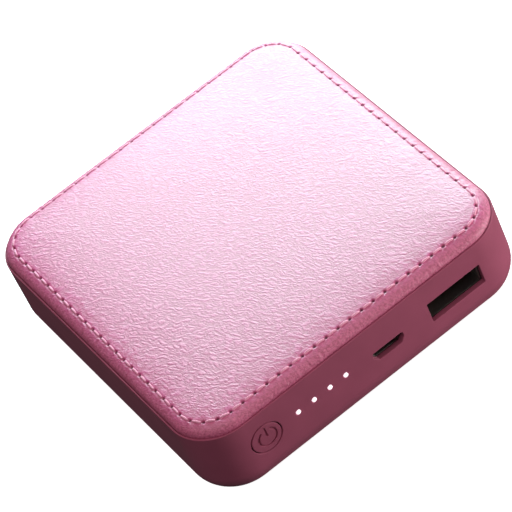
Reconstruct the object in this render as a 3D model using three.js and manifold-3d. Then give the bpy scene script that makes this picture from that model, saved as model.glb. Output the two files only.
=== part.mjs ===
// A mini power bank: a moulded tray with a padded, stitched leather-look cover.
// Millimetres, +Z up. The origin is on the resting surface, under the middle of the case.
// The port wall faces -Y. Along it, +X runs from the power button to the USB-A port.

import * as THREE from 'three';
import { mergeVertices } from 'three/addons/utils/BufferGeometryUtils.js';
import Module from 'manifold-3d';

const wasm = await Module();
wasm.setup();

// Case, half sizes in plan and heights
const HALF_X = 40;
const HALF_Y = 42;
const CORNER_R = 10.5;
const BASE_FILLET = 6.3;
const SEAM_Z = 19.6;
const TOP_Z = 22.2;
const WALL = 2;
const FLOOR_Z = 1.8;
const LIP = 0.4;
const LEDGE_Z = 18.2;
const WALL_INSIDE_Y = WALL - HALF_Y;

// Clearances
const GAP = 0.25;
const SEAT_GAP = 0.3;
const PAST = 1;

// Facets. An arc in an extruded shape gets twice its number.
const CORNER_FACETS = 5;
const CASE_BEVEL_FACETS = 5;
const CELL_FACETS = 2;
const ROUND_SIDES = 32;
const SMALL_SIDES = 16;

// Padded cover
const COVER_INSET = LIP + GAP;
const COVER_BASE_Z = LEDGE_Z + SEAT_GAP;
const LEATHER = 1;
const CEILING_Z = 21.3;
const SHOULDER_WIDE = 2.6;
const SHOULDER_HIGH = 2;
const HOLLOW_ROUND_WIDE = 1.6;
const HOLLOW_ROUND_HIGH = 0.9;
const PLATE_INSET = COVER_INSET + LEATHER + SEAT_GAP;
const PLATE_TOP_Z = 20.1;
const FOAM_INSET = 3.4;
const FOAM_TOP_Z = CEILING_Z - SEAT_GAP;
const STITCH_INSET = 2.9;
const THREAD_WIDE = 0.5;
const THREAD_HIGH = 0.3;
const GROOVE_BOTTOM_Z = 21.6;

// Snap hooks under the plate, each along its wall
const HOOK_HALF = 4;
const HOOK_THICK = 1.4;
const HOOK_BASE_Z = 15;
const BEAD_OUT = 0.75;
const BEAD_HIGH = 1;
const NOTCH_DEEP = 0.9;
const SIDE_HOOK_Y = 18;
const BACK_HOOK_X = 20;
const FRONT_HOOK_X = 10;

// Ribs and bosses of the tray
const RIB_THICK = 1.2;
const RIB_DEEP = 1.5;
const RIB_ROOT = 0.5;
const RIB_BASE_Z = 2.8;
const RIB_YS = [-6, 8, 30];
const BACK_RIB_XS = [-8, 8];
const BOSS_R = 2.4;
const PILOT_R = 1.05;
const SCREW_X = 32.5;
const SCREW_Y = -26;
const SCREW_TIP_Z = 4.5;

// Circuit board
const BOARD_TOP_Z = 9.5;
const BOARD_THICK = 1;
const BOARD_BASE_Z = BOARD_TOP_Z - BOARD_THICK;
const BOARD_HALF_X = 35;
const BOARD_FRONT_Y = -38.25;
const BOARD_BACK_Y = -22.5;
const BOARD_CORNER_R = 7;
const MOUNT_Z = BOARD_TOP_Z + GAP;

// USB-A port
const USB_X = 22.25;
const USB_Z = 11.45;
const USB_MOUTH_HALF_X = 6.75;
const USB_MOUTH_HALF_Z = 2.65;
const USB_SHELL_HALF_X = 6.65;
const USB_SHELL_HALF_Z = 2.9;
const USB_SHEET = 0.35;
const USB_BACK_Y = -27.5;
const USB_TONGUE_TIP_Y = -38.6;
const USB_CONTACT_PITCH = 2.4;

// Micro-USB port: half widths of its wide top and narrow bottom, half height
const MICRO_X = 4.65;
const MICRO_Z = 11.1;
const MICRO_TOP_HALF = 3.85;
const MICRO_BOTTOM_HALF = 2.9;
const MICRO_HALF_Z = 1.3;
const MICRO_SHEET = 0.3;
const MICRO_BACK_Y = -35.2;
const MICRO_CONTACT_PITCH = 0.65;

// The wall is thinner behind both ports, and their shells stand in that pocket
const POCKET_FLOOR_Y = 1.2 - HALF_Y;
const SHELL_FRONT_Y = POCKET_FLOOR_Y + GAP;
const POCKET_MARGIN = 0.4;

// Charge lights
const LED_XS = [-18.05, -14.01, -9.97, -5.93];
const LIGHT_Z = 12.5;
const LIGHT_HOLE_R = 0.7;
const LIGHT_PIN_R = 0.5;
const LIGHT_PIN_TIP_Y = 0.1 - HALF_Y;

// Power button and the switch behind it
const BUTTON_X = -26.2;
const BUTTON_Z = 12.35;
const BUTTON_HOLE_R = 3.75;
const BUTTON_R = 3.5;
const BUTTON_FLANGE_R = 4.25;
const BUTTON_FLANGE_THICK = 0.8;
const BUTTON_STEM_R = 1.3;
const BUTTON_STEM_END_Y = -38.5;
const SYMBOL_X = 0.3;
const SYMBOL_R = 2.1;
const SYMBOL_STROKE = 0.4;
const SYMBOL_DEEP = 0.3;
const SYMBOL_OPEN_HALF_ANGLE = 0.6;
const SYMBOL_FACETS = 10;
const PLUNGER_TIP_Y = BUTTON_STEM_END_Y + 0.15;
const PLUNGER_R = 1.5;
const PLUNGER_BACK_Y = -36.75;
const SWITCH_FRONT_Y = -37.4;
const SWITCH_HOLE_R = 1.8;

// Pouch cells
const CELL_HALF_X = 34;
const CELL_HALF_Y = 27.5;
const CELL_Y = 9.5;
const CELL_THICK = 7.2;
const CELL_EDGE = 1.2;
const CELL_CORNER_R = 2;
const PAD_BASE_Z = FLOOR_Z + GAP;
const PAD_THICK = 0.45;
const CELL_LOW_Z = PAD_BASE_Z + PAD_THICK + GAP;
const TAPE_THICK = 0.3;
const CELL_HIGH_Z = CELL_LOW_Z + CELL_THICK + TAPE_THICK + 2 * GAP;
const CELL_FRONT_Y = CELL_Y - CELL_HALF_Y;
const SEAL_LONG = 1.2;
const TAB_X = 12;
const TAB_HALF = 2.5;
const TAB_THICK = 0.3;
const TAB_START_Y = CELL_FRONT_Y - SEAL_LONG - GAP;
const LOW_TAB_Y = -20.5;
const LOW_TAB_TOP_Z = 11.2;
const HIGH_TAB_Y = LOW_TAB_Y - TAB_THICK - GAP;
const HIGH_TAB_END_Z = 9.9;

// Battery leads
const LEAD_R = 0.6;
const LEAD_HALF_SIDES = 4;
const LEAD_STEPS = 12;

// Colours
const ROSE_PLASTIC = 0x84394f;
const PINK_LEATHER = 0xdf93bd;
const PINK_THREAD = 0xf0b4cf;
const INNER_PLASTIC = 0x2b2327;
const FOAM_WHITE = 0xd9d6d2;
const CELL_FOIL = 0xb9bcc0;
const TAPE_AMBER = 0xc9b37a;
const NICKEL = 0xb4b0a6;
const LEAD_RED = 0xb01818;
const LEAD_BLACK = 0x151515;
const BOARD_GREEN = 0x1d5a35;
const PORT_STEEL = 0x9a9c9f;
const PORT_PLASTIC = 0x16161a;
const CONTACT_GOLD = 0xc9a04a;
const CLEAR_PLASTIC = 0xf4f4f4;
const LIGHT_WHITE = 0xfff4f6;
const CHIP_BLACK = 0x1a1a1c;
const FERRITE = 0x3a3a3c;
const CERAMIC_TAN = 0xa98a63;
const SCREW_STEEL = 0x8e9094;

const PLASTIC = { roughness: 0.55, metalness: 0 };
const SOFT = { roughness: 0.8, metalness: 0 };
const METAL = { roughness: 0.35, metalness: 1 };

const bank = new THREE.Group();

// ---------- solids ----------

// A geometry with shared vertices and no collapsed triangles.
function welded(geometry) {
  const bare = geometry.clone();
  for (const name of Object.keys(bare.attributes)) {
    if (name !== 'position') bare.deleteAttribute(name);
  }
  const merged = mergeVertices(bare, 1e-4);
  const index = merged.getIndex().array;
  const kept = [];
  for (let i = 0; i < index.length; i += 3) {
    const [a, b, c] = [index[i], index[i + 1], index[i + 2]];
    if (a !== b && b !== c && c !== a) kept.push(a, b, c);
  }
  merged.setIndex(kept);
  return merged;
}

function signedVolume(geometry) {
  const at = geometry.getAttribute('position');
  const index = geometry.getIndex().array;
  const [a, b, c] = [new THREE.Vector3(), new THREE.Vector3(), new THREE.Vector3()];
  let sum = 0;
  for (let i = 0; i < index.length; i += 3) {
    a.fromBufferAttribute(at, index[i]);
    b.fromBufferAttribute(at, index[i + 1]);
    c.fromBufferAttribute(at, index[i + 2]);
    sum += a.dot(b.cross(c));
  }
  return sum / 6;
}

function toSolid(geometry) {
  const mesh = welded(geometry);
  const triangles = Uint32Array.from(mesh.getIndex().array);
  if (signedVolume(mesh) < 0) triangles.reverse();
  return new wasm.Manifold(new wasm.Mesh({
    numProp: 3,
    vertProperties: Float32Array.from(mesh.getAttribute('position').array),
    triVerts: triangles,
  }));
}

function toGeometry(solid) {
  const mesh = solid.getMesh();
  const geometry = new THREE.BufferGeometry();
  geometry.setAttribute('position', new THREE.BufferAttribute(mesh.vertProperties, 3));
  geometry.setIndex(new THREE.BufferAttribute(mesh.triVerts, 1));
  return geometry;
}

function join(...geometries) {
  return toGeometry(geometries.map(toSolid).reduce((all, one) => all.add(one)));
}

function cut(base, ...tools) {
  return toGeometry(tools.map(toSolid).reduce((left, tool) => left.subtract(tool), toSolid(base)));
}

function common(first, second) {
  return toGeometry(toSolid(first).intersect(toSolid(second)));
}

// ---------- shapes ----------

function box([x0, x1], [y0, y1], [z0, z1]) {
  const geometry = new THREE.BoxGeometry(x1 - x0, y1 - y0, z1 - z0);
  return geometry.translate((x0 + x1) / 2, (y0 + y1) / 2, (z0 + z1) / 2);
}

function around(centre, half) {
  return [centre - half, centre + half];
}

function roundedRect(halfX, halfY, radius) {
  const shape = new THREE.Shape();
  const quarter = Math.PI / 2;
  const corners = [[1, 1], [-1, 1], [-1, -1], [1, -1]];
  corners.forEach(([sx, sy], i) => {
    const x = sx * (halfX - radius);
    const y = sy * (halfY - radius);
    shape.absarc(x, y, radius, i * quarter, (i + 1) * quarter, false);
  });
  return shape;
}

function slab(shape, z0, z1) {
  const geometry = new THREE.ExtrudeGeometry(shape, {
    depth: z1 - z0, bevelEnabled: false, curveSegments: CORNER_FACETS,
  });
  return geometry.translate(0, 0, z0);
}

// A slab of the case's own outline, moved in by inset.
function caseSlab(inset, z0, z1) {
  return slab(roundedRect(HALF_X - inset, HALF_Y - inset, CORNER_R - inset), z0, z1);
}

// An outline extruded from z0 to z1, its top and bottom edges rounded over wide by high.
function pillow(shape, wide, high, [z0, z1], bevelSegments, curveSegments) {
  const geometry = new THREE.ExtrudeGeometry(shape, {
    depth: z1 - z0 - 2 * high,
    bevelEnabled: true,
    bevelThickness: high,
    bevelSize: wide,
    bevelOffset: -wide,
    bevelSegments,
    curveSegments,
  });
  return geometry.translate(0, 0, z0 + high);
}

function casePillow(inset, wide, high, z0, z1) {
  const shape = roundedRect(HALF_X - inset, HALF_Y - inset, CORNER_R - inset);
  return pillow(shape, wide, high, [z0, z1], CASE_BEVEL_FACETS, CORNER_FACETS);
}

// A shape drawn in x and z, extruded along y.
function alongY(shape, y0, y1, curveSegments = CORNER_FACETS) {
  const geometry = new THREE.ExtrudeGeometry(shape, {
    depth: y1 - y0, bevelEnabled: false, curveSegments,
  });
  return geometry.rotateX(Math.PI / 2).translate(0, y1, 0);
}

function rodY(radius, x, z, y0, y1, sides = ROUND_SIDES) {
  return new THREE.CylinderGeometry(radius, radius, y1 - y0, sides).translate(x, (y0 + y1) / 2, z);
}

function rodZ(radius, x, y, z0, z1, sides = SMALL_SIDES) {
  const rod = new THREE.CylinderGeometry(radius, radius, z1 - z0, sides).rotateX(Math.PI / 2);
  return rod.translate(x, y, (z0 + z1) / 2);
}

// A closed outline in y and z, extruded along x.
function alongX(points, x0, x1) {
  const shape = new THREE.Shape(points.map(([y, z]) => new THREE.Vector2(y, z)));
  const geometry = new THREE.ExtrudeGeometry(shape, { depth: x1 - x0, bevelEnabled: false });
  return geometry.rotateX(Math.PI / 2).rotateZ(Math.PI / 2).translate(x0, 0, 0);
}

// The micro-USB outline: wide on top, its lower corners cut away. grow moves it outward.
function microOutline(grow) {
  const top = MICRO_Z + MICRO_HALF_Z + grow;
  const bottom = MICRO_Z - MICRO_HALF_Z - grow;
  const wide = MICRO_TOP_HALF + grow;
  const narrow = MICRO_BOTTOM_HALF + grow / 2;
  const round = 0.55;
  const shape = new THREE.Shape();
  shape.moveTo(MICRO_X - narrow, bottom);
  shape.lineTo(MICRO_X + narrow, bottom);
  shape.lineTo(MICRO_X + wide, MICRO_Z);
  shape.lineTo(MICRO_X + wide, top - round);
  shape.quadraticCurveTo(MICRO_X + wide, top, MICRO_X + wide - round, top);
  shape.lineTo(MICRO_X - wide + round, top);
  shape.quadraticCurveTo(MICRO_X - wide, top, MICRO_X - wide, top - round);
  shape.lineTo(MICRO_X - wide, MICRO_Z);
  shape.closePath();
  return shape;
}

// ---------- scene ----------

function add(name, geometry, color, finish, at = [0, 0, 0]) {
  const material = new THREE.MeshStandardMaterial({ color, ...finish });
  const mesh = new THREE.Mesh(toGeometry(toSolid(geometry)), material);
  mesh.name = name;
  mesh.position.set(...at);
  bank.add(mesh);
}

// ---------- case ----------

// Each hook: where it stands on its wall, and that wall's outward direction.
const HOOKS = [
  ...[-1, 1].flatMap((side) => [-1, 1].map((end) => ({ wall: [side, 0], along: end * SIDE_HOOK_Y }))),
  ...[-1, 1].map((end) => ({ wall: [0, 1], along: end * BACK_HOOK_X })),
  ...[-1, 1].map((end) => ({ wall: [0, -1], along: end * FRONT_HOOK_X })),
];

// A box against a wall's inner face: from near to far beyond that face, half long along it.
function atWall({ wall, along }, near, far, half, z) {
  const face = wall[0] ? HALF_X - WALL : HALF_Y - WALL;
  const side = wall[0] + wall[1];
  const across = [side * (face + near), side * (face + far)].sort((a, b) => a - b);
  const length = around(along, half);
  return wall[0] ? box(across, length, z) : box(length, across, z);
}

function hook(place) {
  const stemFar = -SEAT_GAP - 0.1;
  const stem = atWall(place, stemFar - HOOK_THICK, stemFar, HOOK_HALF, [HOOK_BASE_Z, PLATE_TOP_Z - GAP]);
  const beadZ = [HOOK_BASE_Z + GAP, HOOK_BASE_Z + GAP + BEAD_HIGH];
  const bead = atWall(place, stemFar - HOOK_THICK / 2, stemFar + BEAD_OUT, HOOK_HALF, beadZ);
  return join(stem, bead);
}

function trayShell() {
  const tall = SEAM_Z + 3 * BASE_FILLET;
  const whole = casePillow(0, BASE_FILLET, BASE_FILLET, 0, tall);
  const outside = common(whole, box([-HALF_X, HALF_X], [-HALF_Y, HALF_Y], [0, SEAM_Z]));
  const inner = BASE_FILLET - WALL;
  return cut(
    outside,
    casePillow(WALL, inner, inner, FLOOR_Z, tall),
    caseSlab(LIP, LEDGE_Z, SEAM_Z + PAST),
  );
}

function trayInnards() {
  const root = FLOOR_Z - GAP;
  const boardSeat = BOARD_BASE_Z - GAP;
  const bosses = [-1, 1].map((side) => rodZ(BOSS_R, side * SCREW_X, SCREW_Y, root, boardSeat));
  const boardRib = box([-28, 28], [BOARD_BACK_Y - 0.8, BOARD_BACK_Y + 0.2], [root, boardSeat]);
  const cellStopY = [CELL_FRONT_Y - GAP - RIB_THICK, CELL_FRONT_Y - GAP];
  const cellStops = [-1, 1].map((side) => box(around(side * 24, 5), cellStopY, [root, 5]));
  const rib = (place) => atWall(place, -RIB_DEEP, RIB_ROOT, RIB_THICK / 2, [RIB_BASE_Z, LEDGE_Z]);
  const sideRibs = [-1, 1].flatMap((side) => RIB_YS.map((y) => rib({ wall: [side, 0], along: y })));
  const backRibs = BACK_RIB_XS.map((x) => rib({ wall: [0, 1], along: x }));
  return [...bosses, boardRib, ...cellStops, ...sideRibs, ...backRibs];
}

function trayOpenings() {
  const through = [-HALF_Y - PAST, WALL_INSIDE_Y + PAST];
  const pocket = [POCKET_FLOOR_Y, WALL_INSIDE_Y + PAST];
  const pocketHalfX = USB_SHELL_HALF_X + POCKET_MARGIN;
  const pocketHalfZ = USB_SHELL_HALF_Z + POCKET_MARGIN;
  return [
    box(around(USB_X, USB_MOUTH_HALF_X), through, around(USB_Z, USB_MOUTH_HALF_Z)),
    box(around(USB_X, pocketHalfX), pocket, around(USB_Z, pocketHalfZ)),
    alongY(microOutline(0), ...through),
    alongY(microOutline(POCKET_MARGIN), ...pocket),
    ...LED_XS.map((x) => rodY(LIGHT_HOLE_R, x, LIGHT_Z, ...through, SMALL_SIDES)),
    rodY(BUTTON_HOLE_R, BUTTON_X, BUTTON_Z, ...through),
    ...[-1, 1].map((side) => rodZ(PILOT_R, side * SCREW_X, SCREW_Y, SCREW_TIP_Z - 0.5, BOARD_TOP_Z)),
    ...HOOKS.map((place) => atWall(
      place, -PAST, NOTCH_DEEP, HOOK_HALF + SEAT_GAP, [HOOK_BASE_Z, HOOK_BASE_Z + BEAD_HIGH + 2 * GAP],
    )),
  ];
}

function addCase() {
  const ribbed = join(trayShell(), ...trayInnards());
  add('tray', cut(ribbed, ...trayOpenings()), ROSE_PLASTIC, PLASTIC);
}

// ---------- cover ----------

function stitchRing(widthEachSide, z0, z1) {
  return cut(
    caseSlab(STITCH_INSET - widthEachSide, z0, z1),
    caseSlab(STITCH_INSET + widthEachSide, z0 - PAST, z1 + PAST),
  );
}

function leatherCover() {
  const deep = COVER_BASE_Z - 3 * SHOULDER_HIGH;
  const whole = casePillow(COVER_INSET, SHOULDER_WIDE, SHOULDER_HIGH, deep, TOP_Z);
  const above = box([-HALF_X, HALF_X], [-HALF_Y, HALF_Y], [COVER_BASE_Z, TOP_Z]);
  const hollow = casePillow(
    COVER_INSET + LEATHER, HOLLOW_ROUND_WIDE, HOLLOW_ROUND_HIGH, deep, CEILING_Z,
  );
  const groove = stitchRing(THREAD_WIDE / 2 + GAP, GROOVE_BOTTOM_Z, TOP_Z + PAST);
  return cut(common(whole, above), hollow, groove);
}

function addCover() {
  const plate = caseSlab(PLATE_INSET, COVER_BASE_Z, PLATE_TOP_Z);
  add('top_plate', join(plate, ...HOOKS.map(hook)), INNER_PLASTIC, PLASTIC);
  add('foam_pad', caseSlab(FOAM_INSET, PLATE_TOP_Z + SEAT_GAP, FOAM_TOP_Z), FOAM_WHITE, SOFT);
  add('leather_cover', leatherCover(), PINK_LEATHER, SOFT);
  const thread = stitchRing(THREAD_WIDE / 2, TOP_Z - THREAD_HIGH, TOP_Z);
  add('stitch_thread', thread, PINK_THREAD, SOFT);
}

// ---------- battery ----------

function pouchCell() {
  const outline = roundedRect(CELL_HALF_X, CELL_HALF_Y, CELL_CORNER_R);
  const body = pillow(outline, CELL_EDGE, CELL_EDGE, [0, CELL_THICK], CELL_FACETS, CELL_FACETS);
  const seal = box(
    [1 - CELL_HALF_X, CELL_HALF_X - 1], [-CELL_HALF_Y - SEAL_LONG, -CELL_HALF_Y + PAST],
    around(CELL_THICK / 2, 0.3),
  );
  return join(body, seal);
}

// A strip from the cell's seal at height z, bent at y towards the height end.
function cellTab(z, y, end) {
  const half = TAB_THICK / 2;
  const far = z + Math.sign(z - end) * half;
  const near = z - Math.sign(z - end) * half;
  const profile = [
    [TAB_START_Y, far], [TAB_START_Y, near], [y + TAB_THICK, near],
    [y + TAB_THICK, end], [y, end], [y, far],
  ];
  return alongX(profile, -TAB_HALF, TAB_HALF);
}

function batteryLead(side) {
  const down = HIGH_TAB_Y - GAP - LEAD_R;
  const level = MOUNT_Z + LEAD_R;
  const route = new THREE.CatmullRomCurve3([
    new THREE.Vector3(0, down, 13.2),
    new THREE.Vector3(0, down, 12),
    new THREE.Vector3(-side, down - 0.9, 10.9),
    new THREE.Vector3(-2 * side, -24.2, level),
    new THREE.Vector3(-3 * side, -25.6, level),
  ]);
  const section = new THREE.Shape();
  section.absarc(0, 0, LEAD_R, 0, 2 * Math.PI, false);
  return new THREE.ExtrudeGeometry(section, {
    steps: LEAD_STEPS, curveSegments: LEAD_HALF_SIDES, bevelEnabled: false, extrudePath: route,
  });
}

function addBattery() {
  const padHalf = [CELL_HALF_X - 6, CELL_HALF_Y - 4];
  const pad = (z, thick) => box(around(0, padHalf[0]), around(CELL_Y, padHalf[1]), [z, z + thick]);
  add('cell_pad', pad(PAD_BASE_Z, PAD_THICK), FOAM_WHITE, SOFT);
  add('cell_lower', pouchCell(), CELL_FOIL, METAL, [0, CELL_Y, CELL_LOW_Z]);
  add('cell_tape', pad(CELL_LOW_Z + CELL_THICK + GAP, TAPE_THICK), TAPE_AMBER, SOFT);
  add('cell_upper', pouchCell(), CELL_FOIL, METAL, [0, CELL_Y, CELL_HIGH_Z]);
  const poles = [['positive', 1, LEAD_RED], ['negative', -1, LEAD_BLACK]];
  for (const [pole, side, color] of poles) {
    const at = [side * TAB_X, 0, 0];
    const low = cellTab(CELL_LOW_Z + CELL_THICK / 2, LOW_TAB_Y, LOW_TAB_TOP_Z);
    const high = cellTab(CELL_HIGH_Z + CELL_THICK / 2, HIGH_TAB_Y, HIGH_TAB_END_Z);
    add(`lower_tab_${pole}`, low, NICKEL, METAL, at);
    add(`upper_tab_${pole}`, high, NICKEL, METAL, at);
    add(`lead_${pole}`, batteryLead(side), color, PLASTIC, at);
  }
}

// ---------- circuit board ----------

function boardOutline() {
  const middleY = (BOARD_FRONT_Y + BOARD_BACK_Y) / 2;
  const halfY = (BOARD_BACK_Y - BOARD_FRONT_Y) / 2;
  const whole = slab(roundedRect(BOARD_HALF_X, halfY, BOARD_CORNER_R), BOARD_BASE_Z, BOARD_TOP_Z);
  whole.translate(0, middleY, 0);
  const backHalf = box(
    around(0, BOARD_HALF_X), [SCREW_Y - 3, BOARD_BACK_Y], [BOARD_BASE_Z, BOARD_TOP_Z],
  );
  return join(whole, backHalf);
}

function circuitBoard() {
  const through = [BOARD_BASE_Z - PAST, BOARD_TOP_Z + PAST];
  const notchHalf = USB_SHELL_HALF_X + SEAT_GAP;
  return cut(
    boardOutline(),
    box(around(USB_X, notchHalf), [BOARD_FRONT_Y - PAST, USB_BACK_Y + SEAT_GAP], through),
    ...[-1, 1].map((side) => rodZ(PILOT_R, side * SCREW_X, SCREW_Y, ...through)),
  );
}

function boardScrew() {
  const head = rodZ(1.9, 0, 0, MOUNT_Z, MOUNT_Z + 1.2);
  const shank = rodZ(0.75, 0, 0, SCREW_TIP_Z, MOUNT_Z + GAP);
  const slot = [MOUNT_Z + 0.7, MOUNT_Z + 2];
  const recess = [
    box(around(0, 1.1), around(0, 0.22), slot),
    box(around(0, 0.22), around(0, 1.1), slot),
  ];
  return cut(join(head, shank), ...recess);
}

// A ferrite block with chamfered corners and a round core on top.
function inductor() {
  const half = 3.3;
  const short = 2.3;
  const corners = [[1, 1], [-1, 1], [-1, -1], [1, -1]];
  const points = corners.flatMap(([sx, sy], i) => {
    const pair = [new THREE.Vector2(sx * half, sy * short), new THREE.Vector2(sx * short, sy * half)];
    return i % 2 ? pair.reverse() : pair;
  });
  return join(slab(new THREE.Shape(points), 0, 2.4), rodZ(2.7, 0, 0, 2, 3, ROUND_SIDES));
}

// Surface-mounted parts: name, centre x and y, size x, y and height, colour, finish.
const CHIPS = [
  ['charge_controller', -13.5, -28, 5, 5, 0.9, CHIP_BLACK, PLASTIC],
  ['mosfet_1', -20, -26.2, 3, 1.7, 1.1, CHIP_BLACK, PLASTIC],
  ['mosfet_2', -20, -30.2, 3, 1.7, 1.1, CHIP_BLACK, PLASTIC],
  ['capacitor_1', 11.6, -34.2, 3.2, 2.5, 1.6, CERAMIC_TAN, PLASTIC],
  ['capacitor_2', 11.6, -30.4, 3.2, 2.5, 1.6, CERAMIC_TAN, PLASTIC],
  ['sense_resistor', -4.6, -26.2, 3.2, 1.6, 0.6, CHIP_BLACK, PLASTIC],
];

function addBoard() {
  add('circuit_board', circuitBoard(), BOARD_GREEN, PLASTIC);
  const sides = [['left', -1], ['right', 1]];
  for (const [name, side] of sides) {
    add(`board_screw_${name}`, boardScrew(), SCREW_STEEL, METAL, [side * SCREW_X, SCREW_Y, 0]);
  }
  add('inductor', inductor(), FERRITE, PLASTIC, [4, -29, MOUNT_Z]);
  for (const [name, x, y, wide, deep, high, color, finish] of CHIPS) {
    const geometry = new THREE.BoxGeometry(wide, deep, high);
    add(name, geometry, color, finish, [x, y, MOUNT_Z + high / 2]);
  }
}

// ---------- ports ----------

function usbShell() {
  const inX = USB_SHELL_HALF_X - USB_SHEET;
  const inZ = USB_SHELL_HALF_Z - USB_SHEET;
  return cut(
    box(around(USB_X, USB_SHELL_HALF_X), [SHELL_FRONT_Y, USB_BACK_Y], around(USB_Z, USB_SHELL_HALF_Z)),
    box(around(USB_X, inX), [SHELL_FRONT_Y - PAST, USB_BACK_Y - USB_SHEET], around(USB_Z, inZ)),
  );
}

function usbInsulator() {
  const inX = USB_SHELL_HALF_X - USB_SHEET - GAP;
  const inZ = USB_SHELL_HALF_Z - USB_SHEET - GAP;
  const blockFront = USB_BACK_Y - 3.5;
  const block = box(
    around(USB_X, inX), [blockFront, USB_BACK_Y - USB_SHEET - GAP], around(USB_Z, inZ),
  );
  const tongue = box(
    around(USB_X, 5.55), [USB_TONGUE_TIP_Y, blockFront + PAST], [USB_Z + 0.15, USB_Z + 1.99],
  );
  return join(block, tongue);
}

function addUsbA() {
  add('usb_a_shell', usbShell(), PORT_STEEL, METAL);
  add('usb_a_insulator', usbInsulator(), PORT_PLASTIC, PLASTIC);
  const contactZ = [USB_Z - 0.3, USB_Z - 0.1];
  const contactY = [USB_TONGUE_TIP_Y + 0.4, USB_BACK_Y - 3.5 - GAP];
  for (let i = 0; i < 4; i += 1) {
    const x = USB_X + (i - 1.5) * USB_CONTACT_PITCH;
    const strip = box(around(x, 0.5), contactY, contactZ);
    add(`usb_a_contact_${i + 1}`, strip, CONTACT_GOLD, METAL);
  }
}

function addMicroUsb() {
  const outer = MICRO_SHEET - GAP;
  const shell = cut(
    alongY(microOutline(outer), SHELL_FRONT_Y, MICRO_BACK_Y),
    alongY(microOutline(outer - MICRO_SHEET), SHELL_FRONT_Y - PAST, MICRO_BACK_Y - MICRO_SHEET),
  );
  add('micro_usb_shell', shell, PORT_STEEL, METAL);
  const blockFront = MICRO_BACK_Y - 1.6;
  const insulator = join(
    box(around(MICRO_X, 2.4), [blockFront, MICRO_BACK_Y - MICRO_SHEET - GAP], around(MICRO_Z, 0.8)),
    box(around(MICRO_X, 1.9), [SHELL_FRONT_Y + 0.8, blockFront + 0.5], [MICRO_Z + 0.15, MICRO_Z + 0.75]),
  );
  add('micro_usb_insulator', insulator, PORT_PLASTIC, PLASTIC);
  const contactY = [SHELL_FRONT_Y + 1, blockFront - GAP];
  for (let i = 0; i < 5; i += 1) {
    const x = MICRO_X + (i - 2) * MICRO_CONTACT_PITCH;
    const strip = box(around(x, 0.18), contactY, [MICRO_Z - 0.25, MICRO_Z - 0.1]);
    add(`micro_usb_contact_${i + 1}`, strip, CONTACT_GOLD, METAL);
  }
}

// ---------- lights and button ----------

function lightGuide() {
  const front = WALL_INSIDE_Y + GAP;
  const back = -37;
  const ends = [LED_XS[0] - 2, LED_XS[LED_XS.length - 1] + 2];
  const bar = box(ends, [front, back], [10.7, 13.6]);
  const legs = ends.map((x, i) => box(around(x + (i ? -0.5 : 0.5), 0.5), [-38, back], [MOUNT_Z, 11]));
  const pins = LED_XS.map(
    (x) => rodY(LIGHT_PIN_R, x, LIGHT_Z, LIGHT_PIN_TIP_Y, front + 0.5, SMALL_SIDES),
  );
  return join(bar, ...legs, ...pins);
}

function addLights() {
  add('light_guide', lightGuide(), CLEAR_PLASTIC, { roughness: 0.2, metalness: 0 });
  LED_XS.forEach((x, i) => {
    const geometry = new THREE.BoxGeometry(1.6, 0.8, 0.6);
    add(`led_${i + 1}`, geometry, LIGHT_WHITE, PLASTIC, [x, -37.6, MOUNT_Z + 0.3]);
  });
}

// The power mark: an open ring with a bar standing in the opening.
function powerMark(y0, y1) {
  const shape = new THREE.Shape();
  const start = Math.PI / 2 + SYMBOL_OPEN_HALF_ANGLE;
  const end = Math.PI / 2 - SYMBOL_OPEN_HALF_ANGLE + 2 * Math.PI;
  shape.absarc(SYMBOL_X, 0, SYMBOL_R + SYMBOL_STROKE / 2, start, end, false);
  shape.absarc(SYMBOL_X, 0, SYMBOL_R - SYMBOL_STROKE / 2, end, start, true);
  shape.closePath();
  const ring = alongY(shape, y0, y1, SYMBOL_FACETS);
  const bar = box(around(SYMBOL_X, SYMBOL_STROKE / 2), [y0, y1], [0.2, SYMBOL_R + 0.7]);
  return [ring, bar];
}

function powerButton() {
  const flangeFront = WALL_INSIDE_Y + GAP;
  const flangeBack = flangeFront + BUTTON_FLANGE_THICK;
  const profile = [
    [0, -HALF_Y], [BUTTON_R - 0.15, -HALF_Y], [BUTTON_R, -HALF_Y + 0.15], [BUTTON_R, flangeFront],
    [BUTTON_FLANGE_R, flangeFront], [BUTTON_FLANGE_R, flangeBack], [BUTTON_STEM_R, flangeBack],
    [BUTTON_STEM_R, BUTTON_STEM_END_Y], [0, BUTTON_STEM_END_Y],
  ];
  const turned = new THREE.LatheGeometry(profile.map(([r, y]) => new THREE.Vector2(r, y)), ROUND_SIDES);
  return cut(turned, ...powerMark(-HALF_Y - PAST, -HALF_Y + SYMBOL_DEEP));
}

function addButton() {
  const at = [BUTTON_X, 0, BUTTON_Z];
  add('power_button', powerButton(), ROSE_PLASTIC, PLASTIC, at);
  const face = [around(0, 3.1), around(0, 2.75)];
  const body = cut(
    box(face[0], [SWITCH_FRONT_Y, -34], face[1]),
    rodY(SWITCH_HOLE_R, 0, 0, SWITCH_FRONT_Y - PAST, -36.2, SMALL_SIDES),
  );
  add('switch_body', body, CHIP_BLACK, PLASTIC, at);
  const frame = cut(
    box(face[0], [SWITCH_FRONT_Y - GAP - 0.3, SWITCH_FRONT_Y - GAP], face[1]),
    rodY(SWITCH_HOLE_R, 0, 0, SWITCH_FRONT_Y - 2, SWITCH_FRONT_Y, SMALL_SIDES),
  );
  add('switch_frame', frame, PORT_STEEL, METAL, at);
  const plunger = rodY(PLUNGER_R, 0, 0, PLUNGER_TIP_Y, PLUNGER_BACK_Y, SMALL_SIDES);
  add('switch_plunger', plunger, CHIP_BLACK, PLASTIC, at);
}

addCase();
addCover();
addBattery();
addBoard();
addUsbA();
addMicroUsb();
addLights();
addButton();

export default bank;
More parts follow.
